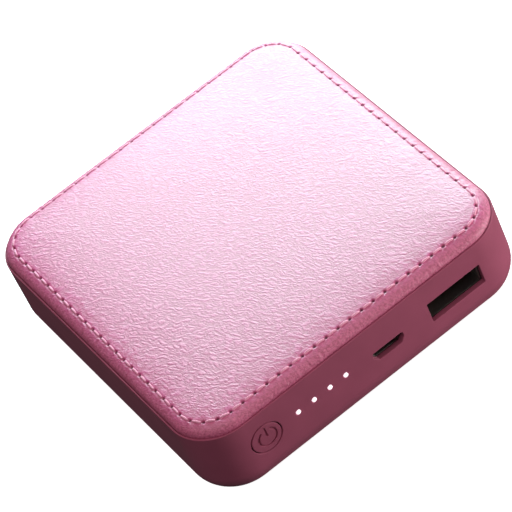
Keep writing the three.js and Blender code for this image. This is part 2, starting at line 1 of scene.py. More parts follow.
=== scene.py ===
"""The looks of a mini power bank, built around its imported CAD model.

Shapes are worked out in millimetres in the model's own frame, and become metres when a mesh is done.
The port wall faces -Y. The case's middle is on the Z axis and its resting surface is at z 0.
"""

import math

import bmesh
import bpy
import numpy as np
from mathutils import Matrix, Vector


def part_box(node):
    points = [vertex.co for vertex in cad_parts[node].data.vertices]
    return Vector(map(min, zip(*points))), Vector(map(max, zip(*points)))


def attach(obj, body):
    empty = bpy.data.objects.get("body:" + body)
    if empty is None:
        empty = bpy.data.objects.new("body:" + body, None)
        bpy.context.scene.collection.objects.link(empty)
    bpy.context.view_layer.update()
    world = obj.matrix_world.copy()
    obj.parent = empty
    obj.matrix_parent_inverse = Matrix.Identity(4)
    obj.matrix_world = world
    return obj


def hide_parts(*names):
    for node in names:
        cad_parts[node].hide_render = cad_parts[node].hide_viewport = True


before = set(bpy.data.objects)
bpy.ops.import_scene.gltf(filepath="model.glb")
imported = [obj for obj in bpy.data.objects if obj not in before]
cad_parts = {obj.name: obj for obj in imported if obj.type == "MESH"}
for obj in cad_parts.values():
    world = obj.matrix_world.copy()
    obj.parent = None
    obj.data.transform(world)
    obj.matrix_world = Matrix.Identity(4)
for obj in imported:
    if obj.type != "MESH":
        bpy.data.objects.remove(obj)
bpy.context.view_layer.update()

MM = 0.001


def node_box(node):
    """A CAD node's lowest and highest corner, in millimetres."""
    return [np.array(corner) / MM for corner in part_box(node)]


def node_middle(node):
    low, high = node_box(node)
    return (low + high) / 2


# Case, from the tray's box and the moulding's own sizes
HALF_X, HALF_Y, SEAM_Z = node_box("tray")[1]
WALL_Y = -HALF_Y
CORNER_R = 10.5
BASE_FILLET = 6.3
WALL = 2.0
FLOOR_Z = 1.8
LIP = 0.4
LEDGE_Z = 18.2
LIP_OUTER_ROUND = 0.18
LIP_INNER_ROUND = 0.1
WALL_INSIDE_Y = WALL_Y + WALL
POCKET_Y = WALL_Y + 1.2
BEHIND_WALL = 0.25
EDGE_ROUND = 0.15
PORT_EDGE_ROUND = 0.12
LIGHT_EDGE_ROUND = 0.08
MARK_EDGE_ROUND = 0.07

# Ports, lights and button
USB_MIDDLE = node_middle("usb_a_shell")
USB_MOUTH = (6.75, 2.65)
USB_POCKET = (7.05, 3.3)
USB_CORNER = 0.15
MICRO_MIDDLE = node_middle("micro_usb_shell")
MICRO_WIDE, MICRO_NARROW, MICRO_HALF_HIGH = 3.85, 3.05, 1.3
MICRO_SHOULDER = 0.1
MICRO_CORNER = 0.45
MICRO_POCKET_GROWS = 0.4
LIGHT_XS = [node_middle(f"led_{i + 1}")[0] for i in range(4)]
BUTTON_MIDDLE = node_middle("power_button")
LIGHT_Z = 12.5
LIGHT_HOLE_R = 0.7
LIGHT_PIN_R = 0.52
LIGHT_DOME = 0.15
LIGHT_BAR_LOW_Z = 10.7
LIGHT_LEG_HALF = 0.5
BUTTON_HOLE_R = 3.75
BUTTON_R = 3.5
BUTTON_FLANGE_R = 4.25
BUTTON_FLANGE_THICK = 0.8
BUTTON_STEM_R = 1.3
MARK_X = 0.3
MARK_R = 2.1
MARK_STROKE = 0.4
MARK_DEEP = 0.3
MARK_OPEN_HALF_ANGLE = 0.6

# Stitched leather cover, from its box and the stitch line
COVER_LOW, COVER_HIGH = node_box("leather_cover")
STITCH_INSET = 2.9
STITCHES = 97
STITCH_SAMPLES = 12
COVER_SIDE = STITCH_INSET - LIP - 0.1
LEATHER = 1.0
CEILING_Z = 21.15
INSIDE_ROUND = 0.6
STITCH_Z = 21.9
CROWN_Z = COVER_HIGH[2] + 0.45
BAND_LOW_Z = 19.75
BAND_START = math.radians(24)
GROOVE_DEEP = 0.1
HOLE_DEEP = 0.6
HOLE_R = 0.32
PUCKER_HIGH = 0.13
SWELL_HIGH = 0.03
CREASE_HIGH = 0.03
CREASE_WAVES = 26
BAND_STEPS = 22
PILLOW_INSET = 6.5
THREAD_R = 0.27
THREAD_DIP = 0.42
THREAD_ARCH = 0.5
THREAD_SLANT = 0.16
THREAD_TWIST = 1.1


# ---------- closed meshes ----------


class Skin:
    """Points and faces of closed bodies, built ring by ring."""

    def __init__(self):
        self.points = []
        self.faces = []

    def ring(self, points):
        first = len(self.points)
        self.points.extend(tuple(float(c) for c in p) for p in points)
        return list(range(first, len(self.points)))

    def bridge(self, a, b):
        """Faces between two rings of equal count, or from a ring to one with half its points."""
        for i in range(len(b)):
            j = (i + 1) % len(b)
            if len(a) == len(b):
                self.faces.append((a[i], a[j], b[j], b[i]))
            else:
                left, middle, right = a[2 * i], a[2 * i + 1], a[(2 * i + 2) % len(a)]
                self.faces += [(left, middle, b[i]), (middle, right, b[j]), (middle, b[j], b[i])]

    def loft(self, rings):
        """One body through the rings, with both ends capped."""
        made = [self.ring(points) for points in rings]
        for a, b in zip(made, made[1:]):
            self.bridge(a, b)
        self.faces += [tuple(made[0]), tuple(made[-1])]

    def dome(self, rings):
        """Faces through rings that are already made, and a cap on the last."""
        for a, b in zip(rings, rings[1:]):
            self.bridge(a, b)
        self.faces.append(tuple(rings[-1]))


def tidy_mesh(mesh, crease):
    """Merges doubled points, turns faces outward, and marks edges sharper than crease degrees."""
    bm = bmesh.new()
    bm.from_mesh(mesh)
    bmesh.ops.remove_doubles(bm, verts=bm.verts, dist=1e-4)
    bmesh.ops.recalc_face_normals(bm, faces=bm.faces)
    for face in bm.faces:
        face.smooth = True
    for edge in bm.edges:
        edge.smooth = edge.calc_face_angle(0.0) < math.radians(crease)
    bm.to_mesh(mesh)
    bm.free()


def add_object(name, data):
    made = bpy.data.objects.new(name, data)
    bpy.context.scene.collection.objects.link(made)
    return made


def solid(name, skin, **marks):
    """An object made of a skin, still in millimetres. A mark is a value for each of its first points."""
    mesh = bpy.data.meshes.new(name)
    mesh.from_pydata(skin.points, [], skin.faces)
    for mark, values in marks.items():
        padded = np.zeros(len(skin.points), dtype=np.float32)
        padded[: len(values)] = values
        mesh.attributes.new(mark, "FLOAT", "POINT").data.foreach_set("value", padded)
    tidy_mesh(mesh, 180)
    return add_object(name, mesh)


def combine(base, skin, operation):
    """Joins a skin's bodies to base, or cuts them from it."""
    tool = solid("tool", skin)
    modifier = base.modifiers.new("combine", "BOOLEAN")
    modifier.operation = operation
    modifier.solver = "EXACT"
    modifier.object = tool
    evaluated = base.evaluated_get(bpy.context.evaluated_depsgraph_get())
    base.data = bpy.data.meshes.new_from_object(evaluated)
    base.modifiers.clear()
    bpy.data.objects.remove(tool)


def place(obj, material, body, slot, *nodes, crease=32):
    """Turns a finished solid into a piece in metres that rides on body and stands for nodes."""
    tidy_mesh(obj.data, crease)
    obj.data.transform(Matrix.Scale(MM, 4))
    obj.data.name = obj.name
    obj.data.materials.clear()
    obj.data.materials.append(material)
    normals = obj.modifiers.new("weighted_normals", "WEIGHTED_NORMAL")
    normals.keep_sharp = True
    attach(obj, body)
    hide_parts(*nodes)
    return obj


# ---------- outlines ----------


def unit(angle):
    return np.array([math.cos(angle), math.sin(angle)])


def case_path(half_x, half_y, radius):
    """The four straights and four bends of a rounded rectangle, from the front side's left end."""
    cx, cy = half_x - radius, half_y - radius
    centres = [np.array(c) for c in ((cx, -cy), (cx, cy), (-cx, cy), (-cx, -cy))]
    lengths = [2 * cx, 2 * cy, 2 * cx, 2 * cy]
    return centres, lengths, math.pi / 2 * radius


def case_length(half_x, half_y, radius):
    _, lengths, bend = case_path(half_x, half_y, radius)
    return sum(lengths) + 4 * bend


def case_points(half_x, half_y, radius, distances):
    """Points and outward normals at distances along a rounded rectangle."""
    centres, lengths, bend = case_path(half_x, half_y, radius)
    total = case_length(half_x, half_y, radius)
    points, normals = [], []
    for distance in distances:
        left = distance % total
        side = 0
        while side < 3 and left >= lengths[side] + bend:
            left -= lengths[side] + bend
            side += 1
        facing = math.pi / 2 * (side - 1)
        if left < lengths[side]:
            normal = unit(facing)
            point = centres[side - 1] + radius * normal + left * unit(facing + math.pi / 2)
        else:
            normal = unit(facing + (left - lengths[side]) / radius)
            point = centres[side] + radius * normal
        points.append(point)
        normals.append(normal)
    return np.array(points), np.array(normals)


def case_stations(half_x, half_y, radius, per_side, per_bend):
    """Distances that divide each straight and each bend evenly."""
    _, lengths, bend = case_path(half_x, half_y, radius)
    stations, start = [], 0.0
    for length in lengths:
        stations += [start + length * i / per_side for i in range(per_side)]
        start += length
        stations += [start + bend * i / per_bend for i in range(per_bend)]
        start += bend
    return stations


def at_height(flat, z):
    """Flat points at a height, which is one number or one for each point."""
    return np.column_stack([flat, np.broadcast_to(z, len(flat))])


def quarter(steps):
    """Angles from 0 to a right angle."""
    return [math.pi / 2 * i / steps for i in range(steps + 1)]


def rounded(core, radius, steps=4):
    """The convex outline of an anticlockwise core polygon grown by radius, with round corners."""
    core = [np.array(c, float) for c in core]
    outline = []
    for i, corner in enumerate(core):
        into = corner - core[i - 1]
        out = core[(i + 1) % len(core)] - corner
        start = math.atan2(-into[0], into[1])
        turn = (math.atan2(-out[0], out[1]) - start) % (2 * math.pi)
        outline += [corner + radius * unit(start + turn * k / steps) for k in range(steps + 1)]
    return outline


def rectangle(x, z, half_x, half_z, radius):
    """An outline function: the argument says how far the outline has grown."""
    a, b = half_x - radius, half_z - radius
    core = [(x - a, z - b), (x + a, z - b), (x + a, z + b), (x - a, z + b)]
    return lambda grow: rounded(core, radius + grow)


def circle(x, z, radius, count):
    angles = [2 * math.pi * i / count for i in range(count)]
    return lambda grow: [np.array([x, z]) + (radius + grow) * unit(a) for a in angles]


def micro_outline(extra):
    """The micro-USB outline: wide above its middle, its lower corners cut away."""
    x, z = MICRO_MIDDLE[0], MICRO_MIDDLE[2]
    radius = MICRO_CORNER
    wide, narrow, half = MICRO_WIDE - radius, MICRO_NARROW - radius, MICRO_HALF_HIGH - radius
    right = [(narrow, -half), (wide, MICRO_SHOULDER), (wide, half)]
    core = [(x + a, z + b) for a, b in right] + [(x - a, z + b) for a, b in reversed(right)]
    return lambda grow: rounded(core, radius + extra + grow)


def bar_stroke(x, z0, z1, half):
    core = [(x, z0 + half), (x, z1 - half)]
    return lambda grow: rounded(core, half + grow, 8)


def arc_stroke(x, z, radius, half, opening):
    """A round-ended stroke along a circle that is open at its top."""
    start, end = math.pi / 2 + opening, math.pi * 5 / 2 - opening
    middle = np.array([x, z])

    def outline(grow):
        wide = half + grow
        angles = np.linspace(start, end, 49)
        outer = [middle + (radius + wide) * unit(a) for a in angles]
        inner = [middle + (radius - wide) * unit(a) for a in angles[::-1]]
        turns = np.linspace(0, math.pi, 9)[1:-1]
        end_cap = [middle + radius * unit(end) + wide * unit(end + t) for t in turns]
        start_cap = [middle + radius * unit(start) + wide * unit(start + math.pi + t) for t in turns]
        return outer + end_cap + inner + start_cap

    return outline


# ---------- bodies along Y ----------


def across(outline, y):
    """An x and z outline as points at y."""
    return [(x, y, z) for x, z in outline]


def mouth(outline, edge, to):
    """Rings of a cut that starts in front of the port wall, with a rounded edge, and ends at to."""
    rings = [across(outline(edge), WALL_Y - 1)]
    for a in quarter(4):
        y = WALL_Y + edge * (1 - math.cos(a))
        rings.append(across(outline(edge * (1 - math.sin(a))), y))
    return rings + [across(outline(0), to)]


def turned(x, z, profile, count):
    """Rings round an axis along Y: profile holds (radius, y)."""
    return [across(circle(x, z, radius, count)(0), y) for radius, y in profile]


def add_box(skin, low, high):
    """A box with slightly rounded upright edges."""
    (x0, y0, z0), (x1, y1, z1) = low, high
    r = 0.1
    outline = rounded([(x0 + r, y0 + r), (x1 - r, y0 + r), (x1 - r, y1 - r), (x0 + r, y1 - r)], r, 2)
    skin.loft([at_height(outline, z0), at_height(outline, z1)])


def add_post(skin, x, y, radius, z0, z1):
    outline = circle(x, y, radius, 32)(0)
    skin.loft([at_height(outline, z0), at_height(outline, z1)])


# ---------- tray ----------

SCREW_X, SCREW_Y = 32.5, -26.0
BOSS_R, PILOT_R = 2.4, 1.05
BOARD_SEAT_Z = node_box("circuit_board")[0][2] - 0.25
BOARD_BACK_Y = node_box("circuit_board")[1][1]
CELL_FRONT_Y = node_box("cell_lower")[0][1] + 1.2
RIB_HALF, RIB_DEEP, RIB_ROOT, RIB_BASE_Z = 0.6, 1.5, 0.5, 2.8
ROOT_DEEP, STOP_GAP = 0.25, 0.25
STOP_X, STOP_HALF, STOP_THICK, STOP_TOP_Z = 24, 5, 1.2, 5
REST_HALF, REST_BEFORE, REST_AFTER = 28, 0.8, 0.2
SIDE_RIB_YS = (-6, 8, 30)
BACK_RIB_XS = (-8, 8)
HOOK_Z = (15.0, 16.5)
NOTCH_DEEP, NOTCH_HALF = 0.9, 4.3
SIDE_HOOK_Y, BACK_HOOK_X, FRONT_HOOK_X = 18, 20, 10


def tray_profile():
    """(inset, z) from the underside round the outside, over the lip and down to the floor inside."""
    profile = []
    for a in quarter(14):
        profile.append((BASE_FILLET * (1 - math.sin(a)), BASE_FILLET * (1 - math.cos(a))))
    top, r = SEAM_Z, LIP_OUTER_ROUND
    for a in quarter(4):
        profile.append((r * (1 - math.cos(a)), top - r * (1 - math.sin(a))))
    r = LIP_INNER_ROUND
    for a in quarter(3):
        profile.append((LIP - r * (1 - math.sin(a)), top - r * (1 - math.cos(a))))
    profile += [(LIP, LEDGE_Z), (WALL, LEDGE_Z)]
    inner = BASE_FILLET - WALL
    for a in reversed(quarter(10)):
        profile.append((WALL + inner * (1 - math.sin(a)), FLOOR_Z + inner * (1 - math.cos(a))))
    return profile


def tray_shell():
    stations = case_stations(HALF_X, HALF_Y, CORNER_R, 6, 20)
    points, normals = case_points(HALF_X, HALF_Y, CORNER_R, stations)
    skin = Skin()
    skin.loft([at_height(points - inset * normals, z) for inset, z in tray_profile()])
    return solid("tray_moulding", skin)


def against_wall(skin, wall, along, near, far, half, z):
    """A box on a wall's inner face, from near to far beyond that face, half long along it."""
    side = wall[0] + wall[1]
    face = (HALF_X if wall[0] else HALF_Y) - WALL
    low, high = sorted((side * (face + near), side * (face + far)))
    if wall[0]:
        add_box(skin, (low, along - half, z[0]), (high, along + half, z[1]))
    else:
        add_box(skin, (along - half, low, z[0]), (along + half, high, z[1]))


def tray_ribs():
    """The screw bosses, the board's rest, the cells' stops and the wall ribs."""
    skin = Skin()
    root = FLOOR_Z - ROOT_DEEP
    stop_y = CELL_FRONT_Y - STOP_GAP
    rib = (-RIB_DEEP, RIB_ROOT, RIB_HALF, (RIB_BASE_Z, LEDGE_Z - 0.05))
    for side in (-1, 1):
        add_post(skin, side * SCREW_X, SCREW_Y, BOSS_R, root, BOARD_SEAT_Z)
        stop_x = side * STOP_X
        low = (stop_x - STOP_HALF, stop_y - STOP_THICK, root)
        add_box(skin, low, (stop_x + STOP_HALF, stop_y, STOP_TOP_Z))
        for y in SIDE_RIB_YS:
            against_wall(skin, (side, 0), y, *rib)
    rest_y = (BOARD_BACK_Y - REST_BEFORE, BOARD_BACK_Y + REST_AFTER)
    add_box(skin, (-REST_HALF, rest_y[0], root), (REST_HALF, rest_y[1], BOARD_SEAT_Z))
    for x in BACK_RIB_XS:
        against_wall(skin, (0, 1), x, *rib)
    return skin


def tray_cuts():
    """The port mouths with their pockets, the light and button holes, pilot holes and notches."""
    skin = Skin()
    behind = WALL_INSIDE_Y + 1
    usb_x, usb_z = USB_MIDDLE[0], USB_MIDDLE[2]
    pocket = rectangle(usb_x, usb_z, *USB_POCKET, USB_CORNER)
    usb = mouth(rectangle(usb_x, usb_z, *USB_MOUTH, USB_CORNER), PORT_EDGE_ROUND, POCKET_Y)
    skin.loft(usb + [across(pocket(0), POCKET_Y), across(pocket(0), behind)])
    pocket = micro_outline(MICRO_POCKET_GROWS)
    micro = mouth(micro_outline(0), PORT_EDGE_ROUND, POCKET_Y)
    skin.loft(micro + [across(pocket(0), POCKET_Y), across(pocket(0), behind)])
    for x in LIGHT_XS:
        skin.loft(mouth(circle(x, LIGHT_Z, LIGHT_HOLE_R, 32), LIGHT_EDGE_ROUND, behind))
    button = circle(BUTTON_MIDDLE[0], BUTTON_MIDDLE[2], BUTTON_HOLE_R, 96)
    skin.loft(mouth(button, EDGE_ROUND, behind))
    for side in (-1, 1):
        add_post(skin, side * SCREW_X, SCREW_Y, PILOT_R, 4, BOARD_SEAT_Z + 1)
        for end in (-1, 1):
            against_wall(skin, (side, 0), end * SIDE_HOOK_Y, -1, NOTCH_DEEP, NOTCH_HALF, HOOK_Z)
        against_wall(skin, (0, 1), side * BACK_HOOK_X, -1, NOTCH_DEEP, NOTCH_HALF, HOOK_Z)
        against_wall(skin, (0, -1), side * FRONT_HOOK_X, -1, NOTCH_DEEP, NOTCH_HALF, HOOK_Z)
    return skin


def make_tray(material):
    tray = tray_shell()
    combine(tray, tray_ribs(), "UNION")
    combine(tray, tray_cuts(), "DIFFERENCE")
    return place(tray, material, "case", "tray_plastic", "tray")


# ---------- button ----------


def make_button(material):
    """The round cap with its flange and stem, and the power mark cut into its face."""
    x, z = BUTTON_MIDDLE[0], BUTTON_MIDDLE[2]
    flange_y, end_y = WALL_INSIDE_Y + BEHIND_WALL, node_box("power_button")[1][1]
    edge = EDGE_ROUND
    profile = [(BUTTON_R - edge * (1 - math.sin(a)), WALL_Y + edge * (1 - math.cos(a))) for a in quarter(4)]
    flange_back_y = flange_y + BUTTON_FLANGE_THICK
    profile += [(BUTTON_R, flange_y), (BUTTON_FLANGE_R, flange_y), (BUTTON_FLANGE_R, flange_back_y)]
    profile += [(BUTTON_STEM_R, flange_back_y), (BUTTON_STEM_R, end_y)]
    cap = Skin()
    cap.loft(turned(x, z, profile, 96))
    button = solid("button_cap", cap)
    mark = Skin()
    ring = arc_stroke(x + MARK_X, z, MARK_R, MARK_STROKE / 2, MARK_OPEN_HALF_ANGLE)
    bar = bar_stroke(x + MARK_X, z + 0.2, z + MARK_R + 0.7, MARK_STROKE / 2)
    for stroke in (ring, bar):
        mark.loft(mouth(stroke, MARK_EDGE_ROUND, WALL_Y + MARK_DEEP))
    combine(button, mark, "DIFFERENCE")
    return place(button, material, "button", "button_plastic", "power_button")


# ---------- light guide ----------


def make_light_guide(material):
    """The clear bar with two legs and four domed pins that stand in the light holes."""
    low, high = node_box("light_guide")
    front, back = WALL_INSIDE_Y + BEHIND_WALL, high[1]
    middle_x, middle_z = (low[0] + high[0]) / 2, (LIGHT_BAR_LOW_Z + high[2]) / 2
    outline = rectangle(middle_x, middle_z, (high[0] - low[0]) / 2, (high[2] - LIGHT_BAR_LOW_Z) / 2, 0.4)
    edge = 0.15
    bar = Skin()
    ends = [(edge, front), (0, front + edge), (0, back - edge), (edge, back)]
    bar.loft([across(outline(-shrink), y) for shrink, y in ends])
    guide = solid("light_pipe", bar)
    extra = Skin()
    half = LIGHT_LEG_HALF
    for x in (low[0] + half, high[0] - half):
        add_box(extra, (x - half, back - 1, low[2]), (x + half, back - 0.05, LIGHT_BAR_LOW_Z + 0.3))
    for x in LIGHT_XS:
        dome = [(LIGHT_PIN_R * math.sin(a), WALL_Y - LIGHT_DOME * math.cos(a)) for a in quarter(6)[1:]]
        extra.loft(turned(x, LIGHT_Z, dome + [(LIGHT_PIN_R, front + 0.5)], 32))
    combine(guide, extra, "UNION")
    return place(guide, material, "case", "light_guide", "light_guide")


# ---------- leather cover ----------


def stitch_line():
    """Half sizes and corner radius of the stitch line, and the length of one stitch along it."""
    size = (HALF_X - STITCH_INSET, HALF_Y - STITCH_INSET, CORNER_R - STITCH_INSET)
    return size, case_length(*size) / STITCHES


def stitch_phases():
    """Places along the stitch line in stitches, closer together near the needle holes."""
    t = np.arange(STITCH_SAMPLES) / STITCH_SAMPLES
    bunched = t - 0.6 * np.sin(2 * math.pi * t) / (2 * math.pi)
    return (np.arange(STITCHES)[:, None] + bunched[None, :]).ravel()


def creases(phases, out):
    """Fine creases across the band: a repeatable sum of waves along the stitch line."""
    rng = np.random.default_rng(7)
    turn = 2 * math.pi * phases / STITCHES
    height = np.zeros(len(phases))
    for wave in rng.choice(np.arange(110, 320), CREASE_WAVES, replace=False):
        height += np.cos(wave * turn + rng.uniform(0, 2 * math.pi) + rng.normal(0, 1.2) * out)
    return height / math.sqrt(CREASE_WAVES)


def bump_at(x, width):
    return np.exp(-((x / width) ** 2))


def hole_mask(phases, pitch, out):
    """1 in a needle hole and 0 away from it."""
    to_hole = np.minimum(phases % 1, 1 - phases % 1) * pitch
    return np.exp(-((np.hypot(to_hole, out - 0.02) / HOLE_R) ** 4))


def relief(phases, pitch, out):
    """Height of the leather over its smooth form, at a distance out from the stitch line."""
    to_hole = np.minimum(phases % 1, 1 - phases % 1) * pitch
    height = -GROOVE_DEEP * bump_at(out - 0.34, 0.24) * (1 - 0.6 * bump_at(to_hole, 0.4))
    height -= HOLE_DEEP * hole_mask(phases, pitch, out)
    height += PUCKER_HIGH * bump_at(to_hole, 0.26) * bump_at(out - 0.6, 0.2)
    height += SWELL_HIGH * (1 - bump_at(to_hole, 0.8)) * bump_at(out + 0.5, 0.3)
    band = bump_at(max(0.7 - out, 0), 0.3) * bump_at(max(out - 2.4, 0), 0.8)
    return height + CREASE_HIGH * band * creases(phases, out)


def crown_z(out):
    """The top's height inside the stitch line: a soft pillow, drawn down towards the stitches."""
    falls = ((0.15, 0.7), (0.35, 3.0), (0.5, 9.0))
    return CROWN_Z - (CROWN_Z - STITCH_Z) * sum(part * math.exp(out / reach) for part, reach in falls)


def cover_profile():
    """(out, grow, z, facing out, facing up) from the lower rim up the side to inside the stitches."""
    wide = COVER_SIDE / (1 - math.sin(BAND_START))
    high = (STITCH_Z - BAND_LOW_Z) / math.cos(BAND_START)
    rows, reach, last = [], 0.0, (0.0, STITCH_Z)
    for i in range(1, BAND_STEPS + 1):
        a = BAND_START + (math.pi / 2 - BAND_START) * i / BAND_STEPS
        grow = wide * (math.sin(a) - math.sin(BAND_START))
        z = BAND_LOW_Z + high * math.cos(a)
        reach += math.hypot(grow - last[0], z - last[1])
        last = (grow, z)
        length = math.hypot(high * math.sin(a), wide * math.cos(a))
        rows.append((reach, grow, z, high * math.sin(a) / length, wide * math.cos(a) / length))
    low_z = COVER_LOW[2] + 0.1
    rows += [(reach + BAND_LOW_Z - z, COVER_SIDE, z, 1, 0) for z in (19.2, low_z)]
    rows.reverse()
    for out in (0, -0.07, -0.14, -0.22, -0.32, -0.45, -0.6, -0.8, -1.1, -1.4):
        rows.append((out, out, crown_z(out), 0, 1))
    return rows


def cover_outside(skin):
    """The outer skin from its rim to the middle of the top. Returns the rim and each point's needle-hole
    mask, which paints shade into the holes.
    """
    size, pitch = stitch_line()
    phases = stitch_phases()
    points, normals = case_points(*size, phases * pitch)
    rings = [skin.ring(at_height(points + (COVER_SIDE - 0.1) * normals, COVER_LOW[2]))]
    pressed = [np.zeros(len(phases))]
    for out, grow, z, facing_out, facing_up in cover_profile():
        height = relief(phases, pitch, out)
        pressed.append(hole_mask(phases, pitch, out))
        flat = points + (grow + facing_out * height)[:, None] * normals
        rings.append(skin.ring(at_height(flat, z + facing_up * height)))
    for outs in ((-1.8, -2.3, -3.0), (-4.0, -5.2, -PILLOW_INSET)):
        points, normals = points[::2], normals[::2]
        for out in outs:
            rings.append(skin.ring(at_height(points + out * normals, crown_z(out))))
    inner = points - PILLOW_INSET * normals
    for share in np.linspace(0.94, 0.04, 16):
        depth = PILLOW_INSET + (1 - share) * HALF_X
        rings.append(skin.ring(at_height(inner * share, crown_z(-depth))))
    skin.dome(rings)
    return rings[0], np.concatenate(pressed)


def cover_inside(skin, rim):
    """The inner skin from the rim up to the ceiling that rests on the foam."""
    size, pitch = stitch_line()
    points, normals = case_points(*size, stitch_phases() * pitch)
    wall = COVER_SIDE - LEATHER
    rings = [rim, skin.ring(at_height(points + wall * normals, COVER_LOW[2]))]
    points, normals = points[::2], normals[::2]
    rings.append(skin.ring(at_height(points + wall * normals, COVER_LOW[2] + 0.5)))
    points, normals = points[::2], normals[::2]
    for a in quarter(5):
        grow = wall - INSIDE_ROUND * (1 - math.cos(a))
        z = CEILING_Z - INSIDE_ROUND * (1 - math.sin(a))
        rings.append(skin.ring(at_height(points + grow * normals, z)))
    rings.append(skin.ring(at_height(points - 5 * normals, CEILING_Z)))
    skin.dome(rings)


def make_cover(material):
    """The hollow leather shell: a stitched, rounded band and a softly crowned top."""
    skin = Skin()
    rim, pressed = cover_outside(skin)
    cover_inside(skin, rim)
    cover = solid("leather_top", skin, pressed=pressed)
    place(cover, material, "case", "cover_leather", "leather_cover", crease=60)
    return cover


# ---------- stitches ----------


def make_stitches(material):
    """Separate stitches of two-ply thread, each dipping into the needle holes at its ends."""
    size, pitch = stitch_line()
    steps, sides = 20, 12
    skin = Skin()
    t = np.linspace(0.13, 0.87, steps + 1)
    arch = np.sin(math.pi * (t - t[0]) / (t[-1] - t[0]))
    heights = STITCH_Z - THREAD_DIP + THREAD_ARCH * arch ** 0.35
    angles = np.array([2 * math.pi * i / sides for i in range(sides)])
    for k in range(STITCHES):
        centres, normals = case_points(*size, (k + t) * pitch)
        slant = THREAD_SLANT * (t - 0.5)
        rings = []
        for i in range(steps + 1):
            twist = 2 * math.pi * t[i] * pitch / THREAD_TWIST + k
            lobes = THREAD_R * (0.82 + 0.18 * np.abs(np.cos(angles - twist)))
            squeeze = 0.75 + 0.25 * arch[i] ** 0.5
            side = slant[i] + squeeze * lobes * np.cos(angles)
            flat = centres[i] + side[:, None] * normals[i]
            rings.append(at_height(flat, heights[i] + squeeze * lobes * np.sin(angles)))
        skin.loft(rings)
    piece = solid("stitching", skin)
    return place(piece, material, "case", "thread", "stitch_thread", crease=60)


# ---------- foam ----------


def make_pad(name, node, material, corner):
    """A thin foam sheet with soft edges and a slight crown, in its CAD solid's space."""
    low, high = node_box(node)
    middle, half = (low + high) / 2, (high - low) / 2
    stations = case_stations(half[0], half[1], corner, 10, 10)
    points, normals = case_points(half[0], half[1], corner, stations)
    points = points + middle[:2]
    thick = high[2] - low[2]
    round_in = thick / 2
    rings = []
    for i in range(9):
        a = math.pi * (i / 8 - 0.5)
        inset = round_in * (1 - math.cos(a))
        rings.append(at_height(points - inset * normals, middle[2] + round_in * 0.92 * math.sin(a)))
    top = points - round_in * normals - middle[:2]
    for share in (0.97, 0.9, 0.7, 0.4):
        rings.append(at_height(middle[:2] + top * share, high[2] - 0.04 * round_in * share))
    skin = Skin()
    skin.loft(rings)
    pad = place(solid(name, skin), material, "case", "foam", node, crease=60)
    return pad


# ---------- materials ----------


class Look:
    """A material built from nodes, with coordinates in millimetres."""

    def __init__(self, name, color, roughness, **sockets):
        self.material = bpy.data.materials.new(name)
        self.material.use_nodes = True
        self.tree = self.material.node_tree
        self.shader = self.tree.nodes["Principled BSDF"]
        self.shader.inputs["Base Color"].default_value = (*color, 1)
        self.shader.inputs["Roughness"].default_value = roughness
        for socket, value in sockets.items():
            self.shader.inputs[socket].default_value = value
        place_node = self.node("ShaderNodeTexCoord").outputs["Object"]
        self.mm = self.scaled(place_node, (1 / MM,) * 3)

    def node(self, kind, inputs=None, **settings):
        made = self.tree.nodes.new(kind)
        for name, value in settings.items():
            setattr(made, name, value)
        for socket, value in (inputs or {}).items():
            self.feed(made.inputs[socket], value)
        return made

    def feed(self, socket, value):
        if isinstance(value, bpy.types.NodeSocket):
            self.tree.links.new(value, socket)
        else:
            socket.default_value = value

    def scaled(self, vector, scale, turn=0.0):
        inputs = {"Vector": vector, "Scale": scale, "Rotation": (0, 0, turn)}
        return self.node("ShaderNodeMapping", inputs, vector_type="TEXTURE" if turn else "POINT").outputs[0]

    def noise(self, scale, detail=2.0, vector=None, distortion=0.0):
        inputs = {"Vector": vector or self.mm, "Scale": scale, "Detail": detail, "Distortion": distortion}
        return self.node("ShaderNodeTexNoise", inputs).outputs[0]

    def cells(self, scale):
        return self.node("ShaderNodeTexVoronoi", {"Vector": self.mm, "Scale": scale}).outputs["Distance"]

    def math(self, operation, a, b=0.0):
        made = self.node("ShaderNodeMath", operation=operation)
        self.feed(made.inputs[0], a)
        self.feed(made.inputs[1], b)
        return made.outputs[0]

    def spread(self, value, low, high, to_low=0.0, to_high=1.0):
        """Maps low to high onto to_low to to_high, held at the ends."""
        made = self.node("ShaderNodeMapRange")
        for i, item in enumerate((value, low, high, to_low, to_high)):
            self.feed(made.inputs[i], item)
        return made.outputs[0]

    def tint(self, factor, first, second):
        """Base colour between two colours, by a 0 to 1 factor."""
        made = self.node("ShaderNodeMix", data_type="RGBA")
        self.feed(made.inputs[0], factor)
        for i, item in ((6, first), (7, second)):
            self.feed(made.inputs[i], (*item, 1) if isinstance(item, tuple) else item)
        self.feed(self.shader.inputs["Base Color"], made.outputs[2])
        return made.outputs[2]

    def bump(self, height, distance_mm, strength=1.0):
        inputs = {"Height": height, "Distance": distance_mm * MM, "Strength": strength}
        made = self.node("ShaderNodeBump", inputs)
        self.feed(self.shader.inputs["Normal"], made.outputs[0])

    def roughen(self, value, low, high):
        self.feed(self.shader.inputs["Roughness"], self.spread(value, 0.3, 0.7, low, high))


def shade(color, factor):
    return tuple(c * factor for c in color)


def moulded(name, color, roughness, grain=6.0, relief_mm=0.012):
    """Moulded plastic: spark-textured surface with slight mottling."""
    mottle = 0.04
    look = Look(name, color, roughness, **{"Specular IOR Level": 0.18})
    spark = look.noise(grain, 3)
    cloud = look.noise(0.12, 2)
    look.tint(look.spread(cloud, 0.35, 0.65), shade(color, 1 - mottle), shade(color, 1 + mottle))
    look.roughen(spark, roughness - 0.06, roughness + 0.06)
    look.bump(spark, relief_mm)
    return look


